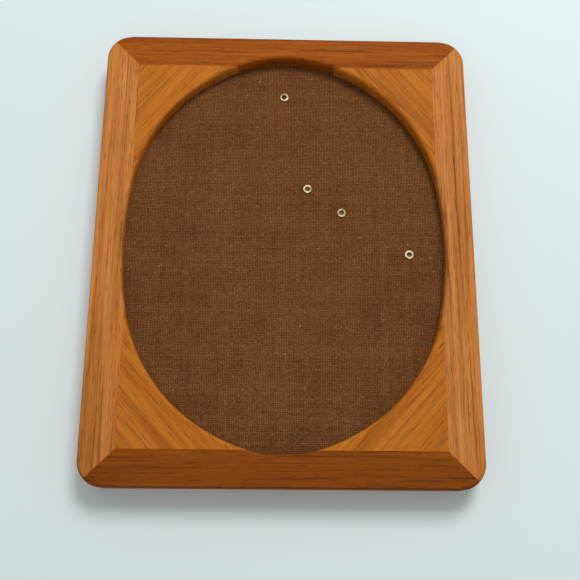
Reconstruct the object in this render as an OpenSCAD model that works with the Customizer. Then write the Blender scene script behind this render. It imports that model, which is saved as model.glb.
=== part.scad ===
// Oval display frame: four mitred hardwood rails with a triangular block in each
// corner, an oval opening over a fabric-covered panel with four eyelets, and the
// turn buttons, hanger and bumpers on its back.
// Millimetres. The frame hangs upright: +X is to its right seen from the front,
// -Y is its front and +Z is up. The origin is the point where the wall nail
// carries the hanger, on the plane of the wall.

/* [Frame] */
// Overall width across the two stiles
frame_w = 228; // [222:1:234]
// Overall height across the two rails
frame_h = 282; // [276:1:288]
// Thickness of the wood
frame_t = 16; // [15.5:0.5:20]
// Width of each rail and stile on the front
rail_w = 21; // [20:0.5:22]
// Radius of the outer corners
corner_r = 15; // [10:1:17]
// Rounding of the outer front edge
edge_r = 3; // [1:0.5:5]

/* [Opening] */
// How far the oval opening cuts into each stile
stile_bite = 4; // [3:0.5:5]
// How far the oval opening cuts into each rail, on average
rail_bite = 4.5; // [3.5:0.5:5.5]
// How far the oval's centre is above the frame's centre
oval_up = 2; // [0:0.5:2.5]
// Fullness of the sides, as their arc's radius over an ellipse's
side_full = 1.38; // [1.2:0.01:1.45]
// Fullness of the top and bottom, as their arcs' radius over an ellipse's
end_full = 1; // [0.9:0.01:1.1]
// Depth of the lip, from the front of the wood to the fabric
lip_depth = 8.5; // [6:0.5:9]
// Rounding of the lip's front edge
lip_r = 2.4; // [1:0.2:4]

/* [Panel] */
// Width of the wood outside the rebate
rebate_wall = 10; // [9:0.5:12]
// Thickness of the backing board
board_t = 5.5; // [4:0.5:5.5]
// Thickness of the fabric
fabric_t = 0.8; // [0.4:0.1:0.8]
// Width of the fabric turned over the back of the board
hem_w = 14; // [10:1:20]
// Gap all round between the covered panel and the rebate
panel_gap = 0.7; // [0.3:0.1:1.5]

/* [Eyelets] */
// Radius of the hole through each eyelet
eyelet_bore_r = 1.35; // [1:0.05:1.6]
// Radius of the eyelet's front flange
eyelet_flange_r = 2.8; // [2.6:0.1:3.5]
// Thickness of the eyelet's barrel
eyelet_wall = 0.4; // [0.3:0.05:0.5]

/* [Back hardware] */
// Distance of each turn button's screw above or below the frame's centre
button_z = 80; // [60:1:90]
// Reach of a turn button, from its screw to its tip
button_reach = 16; // [14:0.5:20]
// Width of a turn button
button_w = 8; // [6:0.5:9]
// Thickness of a turn button
button_t = 1.2; // [0.8:0.1:1.3]
// Length of the hanger plate
hanger_l = 44; // [36:1:60]
// How far the bumpers hold the frame off the wall
standoff = 3; // [2.9:0.1:5]

/* [Hidden] */
$fn = 96;
// Overshoot of a cut past the face that it opens
over = 1;
// A rounding's circle is this much larger than its radius, so that it meets the
// flats on both sides at an edge and doesn't just touch them
full = 1.02;

// The oval's half sizes, and the edges of the rails and stiles that it crosses
stile_edge = frame_w / 2 - rail_w;
rail_edge = frame_h / 2 - rail_w;
oval_a = stile_edge + stile_bite;
oval_b = rail_edge + rail_bite;

// Each stile, rail and corner block is cut by one arc, and the arcs meet where the
// oval crosses the joints between them
side_r = side_full * oval_b * oval_b / oval_a;
end_r = end_full * oval_a * oval_a / oval_b;
shoulder_r = 0.95 * sqrt(oval_a * oval_b);

// Legs of the corner blocks, long enough to reach past the oval
block_leg_x = 76;
block_leg_z = 90;

// Hidden splines in the mitres: thickness, length along and across the joint
spline_t = 3;
spline_along = 12;
spline_across = 16;
spline_y = 4;

// The panel, in depth from the front of the wood
panel_w = frame_w - 2 * rebate_wall - 2 * panel_gap;
panel_h = frame_h - 2 * rebate_wall - 2 * panel_gap;
board_w = panel_w - 2 * fabric_t;
board_h = panel_h - 2 * fabric_t;
board_y = lip_depth + fabric_t;
board_back = board_y + board_t;
hem_back = board_back + fabric_t;

// Eyelets, as X and Z from the frame's centre
eyelet_at = [[-1, 103], [14, 40], [35, 24.5], [76, -2]];
eyelet_r = eyelet_bore_r + eyelet_wall;
eyelet_flange_t = 0.55;
eyelet_roll_r = 2.4;
washer_r = 3.5;
washer_t = 0.4;

// Staples: crown length, width and thickness, leg length, and their spacing
staple_l = 10;
staple_w = 0.9;
staple_t = 0.4;
staple_leg = 5;
staple_x = [-75, -25, 25, 75];
staple_z = [-100, -50, 0, 50, 100];

// Turn buttons turn on plain-shanked screws
back_mid = rebate_wall / 2;
button_x = frame_w / 2 - back_mid;
button_float = 0.1;
button_y = frame_t + button_float;
screw_r = 1.5;
screw_clear = 0.05;
screw_depth = 11;
screw_head_r = 2.6;
screw_head_t = 1.2;

// Hanger plate: its ends lie on the wood and its middle stands off it
hanger_h = 8;
hanger_t = 0.8;
hanger_lift = 1.2;
hanger_flat = 9;
hanger_slope = 2;
hanger_z = frame_h / 2 - back_mid;
tooth_pitch = 3;
tooth_depth = 2;
teeth = 3;
nail_x = hanger_l / 2 - hanger_flat / 2;
nail_r = 0.7;
nail_depth = 9;
nail_head_r = 1.6;
nail_head_t = 0.5;
hang_z = hanger_z - hanger_h / 2 + tooth_depth;

bumper_r = 4;
bumper_edge = 0.8;
bumper_x = 100;

// Moves a piece built about the centre of the frame's front face, with depth
// along +Y, to its place under the hanging point.
module hung() {
    translate([0, -frame_t - standoff, -hang_z]) children();
}

// A flat shape in X and Z, given depth from y0 to y1.
module slab(y0, y1) {
    translate([0, y1, 0]) rotate([90, 0, 0]) linear_extrude(y1 - y0) children();
}

// A profile of radius and depth, turned about Y from angle a0 to a1.
module turned(a0 = 0, a1 = 360) {
    rotate([90, 0, 0]) rotate([0, 0, a0]) rotate_extrude(angle = a1 - a0)
        mirror([0, 1, 0]) children();
}

module at(x, z, y = 0) {
    translate([x, y, z]) children();
}

// What a rounding of radius r takes off the corner of a section, whose corner is
// at the origin with the material on +X and +Y.
module rounding(r) {
    difference() {
        translate([-over, -over]) square(r + over);
        translate([r, r]) circle(full * r);
    }
}

// Section of the outermost corner_r of a rail, with its rounded front edge.
module edge_profile() {
    difference() {
        square([corner_r, frame_t]);
        translate([corner_r, 0]) mirror([1, 0]) rounding(edge_r);
    }
}

// A plain rail along X at the top of a frame of the given sizes, mitred at both
// ends, with half of each rounded corner.
module rail_blank(long, across) {
    run = long / 2 - corner_r;
    top = across / 2 - corner_r;
    mitre = rail_w + over;
    intersection() {
        union() {
            at(run, top) rotate([0, -90, 0]) linear_extrude(2 * run) {
                edge_profile();
                translate([corner_r - mitre, 0]) square([mitre - over, frame_t]);
            }
            for (x = [-run, run]) at(x, top) turned() edge_profile();
        }
        slab(-over, frame_t + over) polygon([
            [rail_w - long / 2, across / 2 - rail_w], [long / 2 - rail_w, across / 2 - rail_w],
            [long / 2 + over, across / 2 + over], [-long / 2 - over, across / 2 + over]
        ]);
    }
}

// Section of the cut along an arc of radius r, from the arc's centre out to the
// wall of the opening, flared in front by the lip's rounding.
module opening_profile(r) {
    translate([0, -over]) square([r, frame_t + 2 * over]);
    translate([r, 0]) rounding(lip_r);
}

// The centre of the arc of radius r from p to q, with the arc on the outside.
function arc_centre(p, q, r) =
    let (d = q - p, half = norm(d) / 2)
    (p + q) / 2 + [-d[1], d[0]] / norm(d) * sqrt(r * r - half * half);

// Where the oval crosses the edge of a stile, and of the top or bottom rail, from
// the oval's centre.
function stile_crossing() =
    [stile_edge, sqrt(pow(side_r, 2) - pow(side_r - stile_bite, 2))];
function rail_crossing(side_z) =
    let (z = rail_edge - side_z * oval_up)
    [sqrt(pow(end_r, 2) - pow(z - oval_b + end_r, 2)), z];

// The three kinds of arc that together cut the oval.
module side_cut(side) {
    at(side * (oval_a - side_r), oval_up) turned() opening_profile(side_r);
}

module end_cut(side) {
    at(0, oval_up + side * (oval_b - end_r)) turned() opening_profile(end_r);
}

module shoulder_cut(side_x, side_z) {
    c = arc_centre(stile_crossing(), rail_crossing(side_z), shoulder_r);
    at(side_x * c[0], oval_up + side_z * c[1]) turned() opening_profile(shoulder_r);
}

module rebate() {
    slab(lip_depth, frame_t + over)
        square([frame_w - 2 * rebate_wall, frame_h - 2 * rebate_wall], center = true);
}

// The spline across the mitre of the corner at side_x, side_z.
module spline(side_x, side_z) {
    middle = (rail_w + corner_r * (1 - sqrt(0.5))) / 2;
    at(side_x * (frame_w / 2 - middle), side_z * (frame_h / 2 - middle))
        rotate([0, -45 * side_x * side_z, 0])
            slab(spline_y, spline_y + spline_t) square([spline_along, spline_across], center = true);
}

module splines() {
    for (x = [-1, 1], z = [-1, 1]) spline(x, z);
}

module button_places() {
    for (x = [-1, 1], z = [-1, 1]) at(x * button_x, z * button_z) children();
}

module pilot_hole() {
    turned() translate([0, frame_t - screw_depth]) square([screw_r, screw_depth + over]);
}

module nail_shank() {
    turned() translate([0, frame_t - nail_depth]) square([nail_r, nail_depth + hanger_t]);
}

// A rail or stile: its blank, turned to its side of the frame, and its cuts. The
// child is its part of the oval.
module rail(turn, long, across) {
    hung() difference() {
        rotate([0, turn, 0]) rail_blank(long, across);
        children();
        rebate();
        splines();
        button_places() pilot_hole();
        for (x = [-nail_x, nail_x]) at(x, hanger_z) nail_shank();
    }
}

module top_rail() {
    color("peru") rail(0, frame_w, frame_h) end_cut(1);
}

module bottom_rail() {
    color("peru") rail(180, frame_w, frame_h) end_cut(-1);
}

module left_stile() {
    color("chocolate") rail(-90, frame_h, frame_w) side_cut(-1);
}

module right_stile() {
    color("chocolate") rail(90, frame_h, frame_w) side_cut(1);
}

module corner_block(side_x, side_z) {
    x = side_x * stile_edge;
    z = side_z * rail_edge;
    color("sandybrown") hung() difference() {
        slab(0, lip_depth)
            polygon([[x, z], [x - side_x * block_leg_x, z], [x, z - side_z * block_leg_z]]);
        shoulder_cut(side_x, side_z);
    }
}

module mitre_spline(side_x, side_z) {
    color("burlywood") hung() spline(side_x, side_z);
}

module backing_board() {
    color("tan") hung() difference() {
        slab(board_y, board_back) square([board_w, board_h], center = true);
        for (p = eyelet_at) at(p[0], p[1]) slab(board_y - over, board_back + over) circle(eyelet_r);
    }
}

// Drawn tight over the board's front, round its edges and onto its back.
module fabric_cover() {
    color("saddlebrown") hung() difference() {
        slab(lip_depth, hem_back) square([panel_w, panel_h], center = true);
        slab(board_y, board_back) square([board_w, board_h], center = true);
        slab(board_y, hem_back + over)
            square([board_w - 2 * hem_w, board_h - 2 * hem_w], center = true);
        for (p = eyelet_at) at(p[0], p[1]) slab(lip_depth - over, board_y + over) circle(eyelet_r);
    }
}

module staple() {
    translate([-staple_l / 2, hem_back, -staple_w / 2]) cube([staple_l, staple_t, staple_w]);
    for (side = [0, 1])
        translate([(side - 0.5) * staple_l - side * staple_t, hem_back - staple_leg, -staple_w / 2])
            cube([staple_t, staple_leg, staple_w]);
}

module fabric_staples() {
    in = hem_w / 2;
    color("silver") hung() {
        for (x = staple_x, side = [-1, 1]) at(x, side * (board_h / 2 - in)) staple();
        for (z = staple_z, side = [-1, 1])
            at(side * (board_w / 2 - in), z) rotate([0, 90, 0]) staple();
    }
}

// Rolled flange in front, straight barrel, and a smaller roll over the washer, with
// the fabric, board and washer between the two.
module eyelet(i) {
    back = board_back + washer_t - lip_depth;
    lip = eyelet_flange_t / 2;
    neck = eyelet_flange_t - eyelet_wall;
    color("gold") hung() at(eyelet_at[i][0], eyelet_at[i][1], lip_depth) turned() difference() {
        union() {
            translate([eyelet_bore_r, -neck]) square([eyelet_wall, back + 2 * neck]);
            translate([eyelet_r, -neck]) circle(eyelet_wall);
            translate([eyelet_r, -eyelet_flange_t])
                square([eyelet_flange_r - lip - eyelet_r, eyelet_flange_t]);
            translate([eyelet_flange_r - lip, -lip]) circle(lip);
            translate([eyelet_r, back + neck]) circle(eyelet_wall);
            translate([eyelet_r, back]) square([eyelet_roll_r - lip - eyelet_r, eyelet_flange_t]);
            translate([eyelet_roll_r - lip, back + lip]) circle(lip);
        }
        translate([eyelet_r, 0]) square([eyelet_flange_r, back]);
    }
}

module eyelet_washer(i) {
    color("goldenrod") hung() at(eyelet_at[i][0], eyelet_at[i][1])
        slab(board_back, board_back + washer_t) difference() {
            circle(washer_r);
            circle(eyelet_r);
        }
}

// A stadium-shaped tab that points inwards over the panel, with a finger dimple.
module turn_button(side_x, side_z) {
    end_r = button_w / 2;
    reach = button_reach - end_r;
    color("darkgoldenrod") hung() at(side_x * button_x, side_z * button_z)
        rotate([0, 90 * (side_x + 1), 0]) {
            slab(button_y, button_y + button_t) difference() {
                union() {
                    circle(end_r);
                    translate([0, -end_r]) square([reach, button_w]);
                    translate([reach, 0]) circle(end_r);
                }
                circle(screw_r + screw_clear);
            }
            at(reach, 0, button_y + button_t) turned() square([end_r / 3, button_t / 2]);
        }
}

// Plain shank with a pointed tip, and a slotted head with a bevelled rim.
module button_screws() {
    tip_y = frame_t - screw_depth;
    head_y = button_y + button_t + button_float;
    top_y = head_y + screw_head_t;
    rim = screw_head_t / 2;
    slot_w = 0.7;
    color("lightgray") hung() button_places() difference() {
        turned() polygon([
            [0, tip_y], [screw_r, tip_y + screw_r], [screw_r, head_y], [screw_head_r, head_y],
            [screw_head_r, top_y - rim], [screw_head_r - rim, top_y], [0, top_y]
        ]);
        translate([-screw_head_r - over, top_y - rim, -slot_w / 2])
            cube([2 * screw_head_r + 2 * over, screw_head_t, slot_w]);
    }
}

// Half of the bent strip's outline, in X and Y.
function hanger_half(side, lift) = [
    [side * hanger_l / 2, lift],
    [side * (hanger_l / 2 - hanger_flat), lift],
    [side * (hanger_l / 2 - hanger_flat - hanger_slope), lift + hanger_lift]
];

module hanger_plate() {
    near = concat(hanger_half(-1, 0), [for (i = [2:-1:0]) hanger_half(1, 0)[i]]);
    far = concat(hanger_half(1, hanger_t), [for (i = [2:-1:0]) hanger_half(-1, hanger_t)[i]]);
    color("silver") hung() difference() {
        translate([0, frame_t, hanger_z - hanger_h / 2])
            linear_extrude(hanger_h) polygon(concat(near, far));
        for (i = [-teeth:teeth])
            slab(frame_t, frame_t + standoff) polygon([
                [(i - 0.45) * tooth_pitch, hang_z - tooth_depth - over],
                [(i - 0.45) * tooth_pitch, hang_z - tooth_depth],
                [i * tooth_pitch, hang_z],
                [(i + 0.45) * tooth_pitch, hang_z - tooth_depth],
                [(i + 0.45) * tooth_pitch, hang_z - tooth_depth - over]
            ]);
        for (x = [-nail_x, nail_x]) at(x, hanger_z) nail_shank();
    }
}

module hanger_nails() {
    color("gray") hung() for (x = [-nail_x, nail_x]) at(x, hanger_z) {
        nail_shank();
        turned() translate([0, frame_t + hanger_t]) square([nail_head_r, nail_head_t]);
    }
}

module bumper(side) {
    color("dimgray") hung() at(side * bumper_x, back_mid - frame_h / 2) turned() {
        translate([0, frame_t]) square([bumper_r, standoff - bumper_edge]);
        translate([0, frame_t]) square([bumper_r - bumper_edge, standoff]);
        translate([bumper_r - bumper_edge, frame_t + standoff - bumper_edge]) circle(bumper_edge);
    }
}

top_rail();
bottom_rail();
left_stile();
right_stile();
corner_block(-1, 1);  // corner_block_top_left
corner_block(1, 1);  // corner_block_top_right
corner_block(-1, -1);  // corner_block_bottom_left
corner_block(1, -1);  // corner_block_bottom_right
mitre_spline(-1, 1);  // mitre_spline_top_left
mitre_spline(1, 1);  // mitre_spline_top_right
mitre_spline(-1, -1);  // mitre_spline_bottom_left
mitre_spline(1, -1);  // mitre_spline_bottom_right
backing_board();
fabric_cover();
fabric_staples();
eyelet(0);  // eyelet_1
eyelet(1);  // eyelet_2
eyelet(2);  // eyelet_3
eyelet(3);  // eyelet_4
eyelet_washer(0);  // eyelet_washer_1
eyelet_washer(1);  // eyelet_washer_2
eyelet_washer(2);  // eyelet_washer_3
eyelet_washer(3);  // eyelet_washer_4
turn_button(-1, 1);  // turn_button_left_upper
turn_button(-1, -1);  // turn_button_left_lower
turn_button(1, 1);  // turn_button_right_upper
turn_button(1, -1);  // turn_button_right_lower
button_screws();
hanger_plate();
hanger_nails();
bumper(-1);  // bumper_left
bumper(1);  // bumper_right
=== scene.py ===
"""Looks of the oval display frame: oiled teak, brown woven fabric and brass eyelets.

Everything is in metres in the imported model's frame: +X to the frame's right seen
from the front, -Y its front, +Z up, with the origin where the wall nail carries it.
"""

import math

import bmesh
import bpy
from mathutils import Matrix, Vector


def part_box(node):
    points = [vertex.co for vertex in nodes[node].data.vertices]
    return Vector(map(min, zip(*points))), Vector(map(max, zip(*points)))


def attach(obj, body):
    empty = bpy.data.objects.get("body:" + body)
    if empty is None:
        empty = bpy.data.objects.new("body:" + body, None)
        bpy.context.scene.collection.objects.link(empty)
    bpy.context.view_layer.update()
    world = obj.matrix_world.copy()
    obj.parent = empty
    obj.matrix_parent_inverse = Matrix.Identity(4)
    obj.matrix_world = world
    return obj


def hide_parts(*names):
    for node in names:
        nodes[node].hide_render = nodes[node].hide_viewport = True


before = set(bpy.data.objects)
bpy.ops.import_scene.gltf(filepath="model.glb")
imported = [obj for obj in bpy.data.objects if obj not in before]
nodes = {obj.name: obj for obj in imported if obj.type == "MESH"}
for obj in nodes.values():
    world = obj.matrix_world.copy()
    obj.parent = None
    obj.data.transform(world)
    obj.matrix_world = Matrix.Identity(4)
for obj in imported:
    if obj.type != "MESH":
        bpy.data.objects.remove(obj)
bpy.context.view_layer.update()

MM = 0.001


def middle_of(node):
    return sum(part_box(node), Vector()) / 2


# The centre of the frame's front face
CENTRE = Vector((0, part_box("left_stile")[0].y, middle_of("left_stile").z))

# The camera, from that centre: its place, its tilt, pan and roll in degrees, and its lens
CAMERA_AT = Vector((-5.1, -452.2, -154.9)) * MM
CAMERA_TURN = (-15.73, -1.09, 0.44)
CAMERA_LENS = 49.66
CAMERA_SENSOR = 36

# The backdrop's side, and how far it lies behind the bumpers
WALL_SIZE = 6
WALL_GAP = 1 * MM

# Eased edges of the wood, which show as a line where two pieces meet
WOOD_EDGE = 0.3 * MM
# Points closer together than this are one point
SAME_POINT = 0.002 * MM

# Distance from one thread of the weave to the next, and how far the threads wander
PITCH = 1.0 * MM
WANDER = 0.3 * MM
# The cloth: its thickness, the size of its mesh's cells, and how far it turns over the back
CLOTH_T = 0.5 * MM
CELL = 2 * MM
HEM = 13.5 * MM
# Radius of the fold at the panel's edges, and the steps round it and along the edge between
FOLD_R = 0.8 * MM
FOLD_STEPS = 3
EDGE_STEPS = 3
# Gap between the cloth and the wood in front of it
CLEAR = 0.03 * MM
# Points that end up this close, where flaps meet, are joined
SEAM = 0.05 * MM
# The dimple round an eyelet: its depth and its reach, and the radius of the cloth's hole
DIMPLE = 0.12 * MM
DIMPLE_REACH = 5 * MM
EYELET_HOLE_R = 2.3 * MM

# Albedo of each wood, as red, green and blue in linear light
STILE = (0.58, 0.200, 0.039)
TOP = (0.37, 0.086, 0.005)
# The bottom rail is darker than the top rail: partly its own tone, partly painted shade
BOTTOM_TONE_AND_SHADE = (0.27, 0.065, 0.004)
BLOCK = (0.53, 0.158, 0.014)


class Paint:
    """One material, and short calls that add nodes to it."""

    def __init__(self, name, **shader):
        self.material = bpy.data.materials.new(name)
        self.material.use_nodes = True
        self.tree = self.material.node_tree
        self.shader = self.tree.nodes["Principled BSDF"]
        for key, value in shader.items():
            self.put(self.shader, key.replace("_", " "), value)

    def put(self, node, key, value):
        if isinstance(value, bpy.types.NodeSocket):
            self.tree.links.new(value, node.inputs[key])
        else:
            node.inputs[key].default_value = value

    def add(self, kind, inputs, out=0, **settings):
        node = self.tree.nodes.new("ShaderNode" + kind)
        for key, value in settings.items():
            setattr(node, key, value)
        for key, value in inputs.items():
            self.put(node, key, value)
        return node.outputs[out]

    def place(self, turn=0.0, shift=0.0):
        """Object coordinates, turned so that X runs at that angle from X towards Z."""
        coords = self.add("TexCoord", {}, out=3)
        return self.add("Mapping", {0: coords, "Location": (shift, 0, shift), "Rotation": (0, turn, 0)})

    def stretched(self, vector, scale):
        return self.add("VectorMath", {0: vector, 1: scale}, operation="MULTIPLY")

    def noise(self, vector, scale=1.0, detail=4.0, roughness=0.55, distortion=0.0):
        inputs = {"Vector": vector, "Scale": scale, "Detail": detail}
        inputs.update({"Roughness": roughness, "Distortion": distortion})
        return self.add("TexNoise", inputs)

    def math(self, operation, a, b=0.0, c=0.0):
        return self.add("Math", {0: a, 1: b, 2: c}, operation=operation)

    def span(self, value, low, high, to_low=0.0, to_high=1.0):
        return self.add("MapRange", {0: value, 1: low, 2: high, 3: to_low, 4: to_high})

    def mix(self, factor, a, b, blend="MIX"):
        return self.add("Mix", {0: factor, 6: a, 7: b}, out=2, data_type="RGBA", blend_type=blend)

    def ramp(self, value, stops):
        node = self.tree.nodes.new("ShaderNodeValToRGB")
        self.put(node, 0, value)
        points = node.color_ramp.elements
        while len(points) < len(stops):
            points.new(0.5)
        for point, (place, colour) in zip(points, stops):
            point.position = place
            point.color = (*colour, 1)
        return node.outputs[0]

    def bump(self, height, depth, strength=1.0):
        self.put(self.shader, "Normal", self.add(
            "Bump", {"Height": height, "Distance": depth, "Strength": strength}))

    def finish(self, colour, roughness):
        self.put(self.shader, "Base Color", colour)
        self.put(self.shader, "Roughness", roughness)
        return self.material


def shade(colour, share):
    return tuple(c * share for c in colour)


# Wood

def teak(name, tone, turn, shift, contrast=0.85):
    """Oiled teak: broad bands, fine streaks and dark pores, all drawn out along the grain."""
    paint = Paint(name, Specular_IOR_Level=0.06)
    grain = paint.place(turn, shift)
    bands = paint.noise(paint.stretched(grain, (5, 70, 70)), detail=3, distortion=0.6)
    streaks = paint.noise(paint.stretched(grain, (9, 420, 420)), detail=6, roughness=0.62, distortion=0.3)
    lines = paint.noise(paint.stretched(grain, (14, 1100, 1100)), detail=3, roughness=0.7)
    pores = paint.noise(paint.stretched(grain, (110, 2300, 2300)), detail=2)
    broad = paint.ramp(bands, [
        (0.30, shade(tone, 0.74)), (0.47, tone), (0.58, (tone[0] * 1.08, tone[1] * 1.16, tone[2] * 1.4)),
        (0.72, shade(tone, 0.86)),
    ])
    fine = paint.ramp(streaks, [
        (0.30, (0.40, 0.33, 0.25)), (0.44, (0.86, 0.83, 0.78)), (0.56, (1, 1, 1)),
        (0.70, (1.22, 1.26, 1.32)),
    ])
    colour = paint.mix(contrast, broad, fine, "MULTIPLY")
    thin = paint.ramp(lines, [(0.33, (0.35, 0.26, 0.18)), (0.43, (1, 1, 1))])
    colour = paint.mix(0.9 * contrast, colour, thin, "MULTIPLY")
    open_pores = paint.span(pores, 0.30, 0.40)
    colour = paint.mix(paint.span(pores, 0.30, 0.40, 0.62, 0), colour, (0.045, 0.014, 0.004, 1))
    paint.bump(paint.math("ADD", open_pores, paint.math("MULTIPLY", streaks, 0.5)), 0.12 * MM, 0.5)
    return paint.finish(colour, paint.span(streaks, 0.3, 0.7, 0.66, 0.48))


def plywood(name):
    """Pale rotary-cut face veneer."""
    paint = Paint(name, Specular_IOR_Level=0.25)
    grain = paint.place(math.pi / 2)
    figure = paint.noise(paint.stretched(grain, (4, 40, 55)), detail=5, distortion=1.4)
    fibres = paint.noise(paint.stretched(grain, (30, 1400, 1400)), detail=3)
    colour = paint.ramp(figure, [
        (0.32, (0.40, 0.25, 0.13)), (0.48, (0.56, 0.39, 0.22)), (0.66, (0.66, 0.49, 0.30))])
    colour = paint.mix(paint.span(fibres, 0.35, 0.5, 0.35, 0), colour, (0.22, 0.12, 0.05, 1))
    paint.bump(fibres, 0.08 * MM, 0.4)
    return paint.finish(colour, paint.span(fibres, 0.3, 0.7, 0.8, 0.65))


def spline_wood(name):
    paint = Paint(name)
    fibres = paint.noise(paint.stretched(paint.place(math.pi / 4), (20, 700, 700)), detail=4)
    colour = paint.ramp(fibres, [(0.35, (0.36, 0.20, 0.08)), (0.6, (0.62, 0.42, 0.22))])
    return paint.finish(colour, paint.span(fibres, 0.3, 0.7, 0.75, 0.6))


# Cloth

def over_under(paint, across, along, phase):
    """Height of one set of threads, and each thread's own number, in a plain weave."""
    thread = paint.math("FLOOR", across)
    round_top = paint.math("ABSOLUTE", paint.math("SINE", paint.math("MULTIPLY", across, math.pi)))
    wave = paint.math("MULTIPLY", paint.math("ADD", paint.math("ADD", along, phase), thread), math.pi)
    lift = paint.math("MULTIPLY_ADD", paint.math("COSINE", wave), 0.5, 0.5)
    return paint.math("MULTIPLY", round_top, lift), thread


def woven(name):
    """Coarse plain weave of uneven dark brown yarn, with paler slubs, a faint mottle and painted shade
    between the threads.
    """
    paint = Paint(name, Specular_IOR_Level=0.06, Sheen_Weight=0.04, Sheen_Roughness=0.5)
    place = paint.place()
    wander = paint.add("TexNoise", {"Vector": place, "Scale": 240, "Detail": 2}, out=1)
    offset = paint.stretched(wander, (WANDER, 0, WANDER))
    moved = paint.add("VectorMath", {0: place, 1: offset}, operation="ADD")
    yarn = paint.stretched(moved, (1 / PITCH,) * 3)
    x, z = (paint.add("SeparateXYZ", {0: yarn}, out=i) for i in (0, 2))
    warp, column = over_under(paint, x, z, -0.5)
    weft, row = over_under(paint, z, x, 0.5)
    height = paint.math("MAXIMUM", warp, weft)
    own = paint.mix(
        paint.math("GREATER_THAN", warp, weft),
        paint.add("TexWhiteNoise", {"W": row}, noise_dimensions="1D"),
        paint.add("TexWhiteNoise", {"W": paint.math("ADD", column, 0.37)}, noise_dimensions="1D"),
    )
    slubs = paint.noise(place, 900, detail=2)
    mottle = paint.noise(place, 38, detail=5, roughness=0.65)
    base = paint.ramp(mottle, [
        (0.34, (0.190, 0.070, 0.020)), (0.50, (0.210, 0.082, 0.024)), (0.66, (0.226, 0.094, 0.028))])
    tone = paint.math("ADD", paint.math("MULTIPLY", own, 0.16), paint.math("MULTIPLY", slubs, 0.84))
    colour = paint.mix(1, base, paint.ramp(tone, [
        (0.30, (0.66, 0.64, 0.62)), (0.50, (1.05, 1.05, 1.05)), (0.70, (1.45, 1.5, 1.55))]), "MULTIPLY")
    # Painted shade: the colour goes towards near-black where the weave is low, in the hollows between the
    # threads
    colour = paint.mix(paint.span(height, 0.15, 0.75, 0.80, 0), colour, (0.018, 0.007, 0.004, 1))
    specks = paint.noise(place, 620, detail=1)
    colour = paint.mix(paint.span(specks, 0.72, 0.78, 0, 0.55), colour, (0.42, 0.29, 0.17, 1))
    paint.bump(height, 0.35 * MM, 0.8)
    return paint.finish(colour, paint.span(height, 0, 1, 0.98, 0.82))


# Metal and rubber

def metal(name, colour, dull, rough, scale=260):
    """Handled metal: a clean colour that goes dull in patches, with fine scratches."""
    paint = Paint(name, Metallic=1.0)
    place = paint.place()
    patches = paint.noise(place, scale, detail=5, roughness=0.6)
    scratches = paint.noise(paint.stretched(place, (400, 400, 5200)), detail=2)
    tint = paint.ramp(patches, [(0.36, dull), (0.58, colour)])
    paint.bump(scratches, 0.02 * MM, 0.35)
    return paint.finish(tint, paint.span(patches, 0.3, 0.7, rough + 0.16, rough))


def rubber(name):
    paint = Paint(name, Specular_IOR_Level=0.35)
    grains = paint.noise(paint.place(), 1500, detail=3)
    colour = paint.ramp(grains, [(0.35, (0.020, 0.019, 0.018)), (0.7, (0.055, 0.052, 0.050))])
    paint.bump(grains, 0.05 * MM, 0.5)
    return paint.finish(colour, paint.span(grains, 0.3, 0.7, 0.85, 0.65))


# Pieces that the CAD gives as they are

def dress(name, material, bevel=0.0):
    """Gives a CAD node its material, and eased edges that show where two pieces meet."""
    node = nodes[name]
    for slot in node.material_slots:
        slot.material = material
    if bevel:
        node.modifiers.new("joined", "WELD").merge_threshold = SAME_POINT
        edges = node.modifiers.new("eased edges", "BEVEL")
        edges.width = bevel
        edges.segments = 2
        edges.limit_method = "ANGLE"
        edges.angle_limit = math.radians(40)
        edges.harden_normals = True


def dress_wood():
    pale = spline_wood("spline wood")
    rails = [
        ("left_stile", STILE, math.pi / 2), ("right_stile", STILE, math.pi / 2),
        ("top_rail", TOP, 0), ("bottom_rail", BOTTOM_TONE_AND_SHADE, 0),
    ]
    for i, (name, tone, turn) in enumerate(rails):
        dress(name, teak(f"teak {name}", tone, turn, 0.31 * (i + 1)), WOOD_EDGE)
    corners = [(level, side) for level in ("top", "bottom") for side in ("left", "right")]
    for i, (level, side) in enumerate(corners):
        name = f"corner_block_{level}_{side}"
        low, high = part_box(name)
        slope = math.atan2(high.z - low.z, high.x - low.x)
        rises = (level == "top") == (side == "left")
        turn = slope if rises else math.pi - slope
        wood = teak(f"teak {name}", BLOCK, turn, 0.47 + 0.19 * i, contrast=0.6)
        dress(name, wood, WOOD_EDGE)
        dress(f"mitre_spline_{level}_{side}", pale)


def dress_hardware():
    ring = metal("pale brass", (0.44, 0.34, 0.20), (0.22, 0.15, 0.08), 0.42)
    washer = metal("washer brass", (0.80, 0.62, 0.32), (0.45, 0.31, 0.12), 0.34)
    brass = metal("button brass", (0.72, 0.50, 0.20), (0.36, 0.23, 0.08), 0.30, 120)
    steel = metal("zinc-plated steel", (0.62, 0.62, 0.60), (0.34, 0.33, 0.31), 0.32, 180)
    wire = metal("staple steel", (0.66, 0.66, 0.66), (0.42, 0.41, 0.40), 0.25, 300)
    black = rubber("bumper rubber")
    for i in range(1, 5):
        dress(f"eyelet_{i}", ring)
        dress(f"eyelet_washer_{i}", washer, 0.08 * MM)
    for side in ("left", "right"):
        dress(f"bumper_{side}", black)
        for level in ("upper", "lower"):
            dress(f"turn_button_{side}_{level}", brass, 0.15 * MM)
    dress("backing_board", plywood("plywood"), 0.25 * MM)
    dress("button_screws", steel, 0.06 * MM)
    dress("hanger_plate", steel, 0.1 * MM)
    dress("hanger_nails", steel, 0.1 * MM)
    dress("fabric_staples", wire, 0.08 * MM)


# The fabric, drawn over the board's front and turned over its back

def ticks(half):
    """Even steps from -half to half, no longer than a cell."""
    count = math.ceil(2 * half / CELL)
    return [-half + 2 * half * i / count for i in range(count + 1)]


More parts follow.
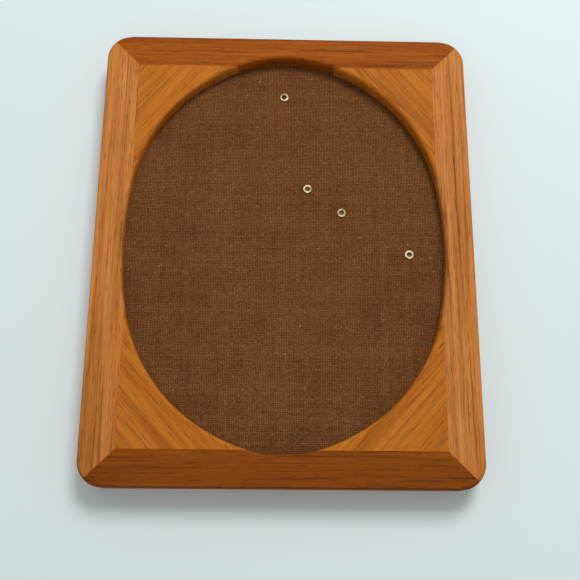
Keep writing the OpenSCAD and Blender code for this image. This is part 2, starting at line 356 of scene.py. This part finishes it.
def over_edge(run, depth):
    """How far in from the panel's outer edge, and how far back, a point is that lies
    `run` past the start of the front fold, with the board's edge `depth` deep."""
    quarter = math.pi / 2 * FOLD_R
    straight = depth - 2 * FOLD_R
    if run <= quarter:
        a = run / FOLD_R
        return FOLD_R * (1 - math.sin(a)), FOLD_R * (1 - math.cos(a))
    if run <= quarter + straight:
        return 0, FOLD_R + run - quarter
    a = (run - quarter - straight) / FOLD_R
    if a <= math.pi / 2:
        return FOLD_R * (1 - math.cos(a)), depth - FOLD_R + FOLD_R * math.sin(a)
    return FOLD_R + run - 2 * quarter - straight, depth


def runs(depth):
    """The lengths along a turn-over, from the front fold, at which it has a row of points."""
    quarter = math.pi / 2 * FOLD_R
    straight = depth - 2 * FOLD_R
    bend = [quarter * i / FOLD_STEPS for i in range(FOLD_STEPS + 1)]
    edge = [quarter + straight * i / EDGE_STEPS for i in range(1, EDGE_STEPS)]
    second = [quarter + straight + b for b in bend]
    steps = math.ceil(HEM / CELL)
    return bend + edge + second + [second[-1] + HEM * i / steps for i in range(1, steps + 1)]


def quads(mesh, rows):
    for a, b in zip(rows, rows[1:]):
        for i in range(len(a) - 1):
            mesh.faces.new((a[i], a[i + 1], b[i + 1], b[i]))


def from_axis(point, eye):
    """How far a point is from an eyelet's axis."""
    return math.hypot(point.x - eye.x, point.z - eye.z)


def front_of(mesh, half_x, half_z, y, middle, eyes):
    """The flat front, taut, with a shallow dimple round each eyelet."""
    rows = []
    for z in ticks(half_z):
        row = []
        for x in ticks(half_x):
            point = Vector((x, y, middle + z))
            near = min(from_axis(point, eye) for eye in eyes)
            point.y += DIMPLE * math.exp(-((near / DIMPLE_REACH) ** 2))
            row.append(mesh.verts.new(point))
        rows.append(row)
    quads(mesh, rows)


def eyelet_hole(mesh, eye):
    """Opens the front at an eyelet, and rounds the opening under its flange."""
    gone = [f for f in mesh.faces if from_axis(f.calc_center_median(), eye) < 0.8 * CELL]
    rim = {v for f in gone for v in f.verts}
    bmesh.ops.delete(mesh, geom=gone, context="FACES")
    for v in rim:
        if v.is_valid:
            out = Vector((v.co.x - eye.x, 0, v.co.z - eye.z)).normalized() * EYELET_HOLE_R
            v.co.x, v.co.z = eye.x + out.x, eye.z + out.z


def flap(mesh, half_long, half_out, y, depth, place):
    """One side's turn-over: round the edge and onto the back, mitred at both ends."""
    rows = []
    for run in runs(depth):
        inward, back = over_edge(run, depth)
        reach = half_long + FOLD_R - inward
        across = [-reach] + ticks(half_long)[1:-1] + [reach]
        rows.append([
            mesh.verts.new(place(max(-reach, min(reach, s)), half_out + FOLD_R - inward, y + back))
            for s in across
        ])
    quads(mesh, rows)


def make_fabric(material):
    low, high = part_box("fabric_cover")
    middle = (low.z + high.z) / 2
    half_x = (high.x - low.x) / 2 - FOLD_R
    half_z = (high.z - low.z) / 2 - FOLD_R
    y = low.y + CLEAR
    depth = high.y - low.y - CLEAR
    eyes = [middle_of(f"eyelet_{i}") for i in range(1, 5)]
    mesh = bmesh.new()
    front_of(mesh, half_x, half_z, y, middle, eyes)
    for eye in eyes:
        eyelet_hole(mesh, eye)
    for side in (-1, 1):
        flap(mesh, half_x, half_z, y, depth, lambda s, out, d: (s, d, middle + side * out))
        flap(mesh, half_z, half_x, y, depth, lambda s, out, d: (side * out, d, middle + s))
    bmesh.ops.remove_doubles(mesh, verts=mesh.verts, dist=SEAM)
    bmesh.ops.recalc_face_normals(mesh, faces=mesh.faces)
    front = min(mesh.faces, key=lambda f: f.calc_center_median().y)
    if front.normal.y > 0:
        bmesh.ops.reverse_faces(mesh, faces=mesh.faces)
    data = bpy.data.meshes.new("woven_fabric")
    mesh.to_mesh(data)
    mesh.free()
    data.materials.append(material)
    data.polygons.foreach_set("use_smooth", [True] * len(data.polygons))
    cloth = bpy.data.objects.new("woven_fabric", data)
    bpy.context.collection.objects.link(cloth)
    thick = cloth.modifiers.new("cloth thickness", "SOLIDIFY")
    thick.thickness = CLOTH_T
    thick.offset = -1
    side = depth - 2 * FOLD_R + math.pi * FOLD_R + HEM
    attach(cloth, "frame")
    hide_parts("fabric_cover")


# Surroundings

def make_backdrop():
    """A pale wall just behind the bumpers, there only for what looks at its front."""
    bpy.ops.mesh.primitive_plane_add(
        size=WALL_SIZE, location=(0, WALL_GAP, CENTRE.z), rotation=(math.pi / 2, 0, 0))
    wall = bpy.context.object
    wall.name = "backdrop"
    material = bpy.data.materials.new("pale wall")
    material.use_nodes = True
    tree = material.node_tree
    tree.nodes.clear()

    def make(kind):
        return tree.nodes.new("ShaderNode" + kind)

    def join(source, name, node, key):
        tree.links.new(source.outputs[name], node.inputs[key])

    paint = make("BsdfDiffuse")
    paint.inputs["Color"].default_value = (0.77, 0.87, 0.88, 1)
    front = make("Math")
    front.operation = "SUBTRACT"
    front.inputs[0].default_value = 1
    seen = make("Math")
    seen.operation = "MULTIPLY"
    mix = make("MixShader")
    join(make("NewGeometry"), "Backfacing", front, 1)
    join(front, 0, seen, 0)
    join(make("LightPath"), "Is Camera Ray", seen, 1)
    join(seen, 0, mix, 0)
    join(make("BsdfTransparent"), 0, mix, 1)
    join(paint, 0, mix, 2)
    join(mix, 0, make("OutputMaterial"), "Surface")
    wall.data.materials.append(material)


def area_light(name, place, size, power):
    data = bpy.data.lights.new(name, "AREA")
    data.size = size
    data.energy = power
    light = bpy.data.objects.new(name, data)
    bpy.context.collection.objects.link(light)
    light.location = CENTRE + Vector(place)
    light.rotation_euler = (CENTRE - light.location).to_track_quat("-Z", "Y").to_euler()


def make_light():
    world = bpy.data.worlds.new("pale room")
    world.use_nodes = True
    background = world.node_tree.nodes["Background"]
    background.inputs["Color"].default_value = (0.98, 1.0, 1.0, 1)
    background.inputs["Strength"].default_value = 0.47
    bpy.context.scene.world = world
    area_light("key from above", (0.35, -1.25, 0.85), 0.6, 14)
    area_light("fill behind", (-0.7, 1.3, 0.6), 1.2, 12)


def make_camera():
    """The photograph's view: from below the middle, looking up at the frame."""
    tilt, pan, roll = (math.radians(angle) for angle in CAMERA_TURN)
    level = Matrix(((1, 0, 0), (0, 0, -1), (0, 1, 0)))
    turn = Matrix.Rotation(roll, 3, "Z") @ Matrix.Rotation(tilt, 3, "X") @ Matrix.Rotation(pan, 3, "Y")
    right, down, ahead = turn @ level
    axes = Matrix((right, -down, -ahead)).transposed()
    data = bpy.data.cameras.new("camera")
    data.sensor_width = CAMERA_SENSOR
    data.lens = CAMERA_LENS
    camera = bpy.data.objects.new("camera", data)
    bpy.context.collection.objects.link(camera)
    camera.matrix_world = Matrix.Translation(CENTRE + CAMERA_AT) @ axes.to_4x4()
    bpy.context.scene.camera = camera


make_camera()
dress_wood()
dress_hardware()
make_fabric(woven("woven fabric"))
make_backdrop()
make_light()
bpy.context.scene.view_settings.view_transform = "Standard"
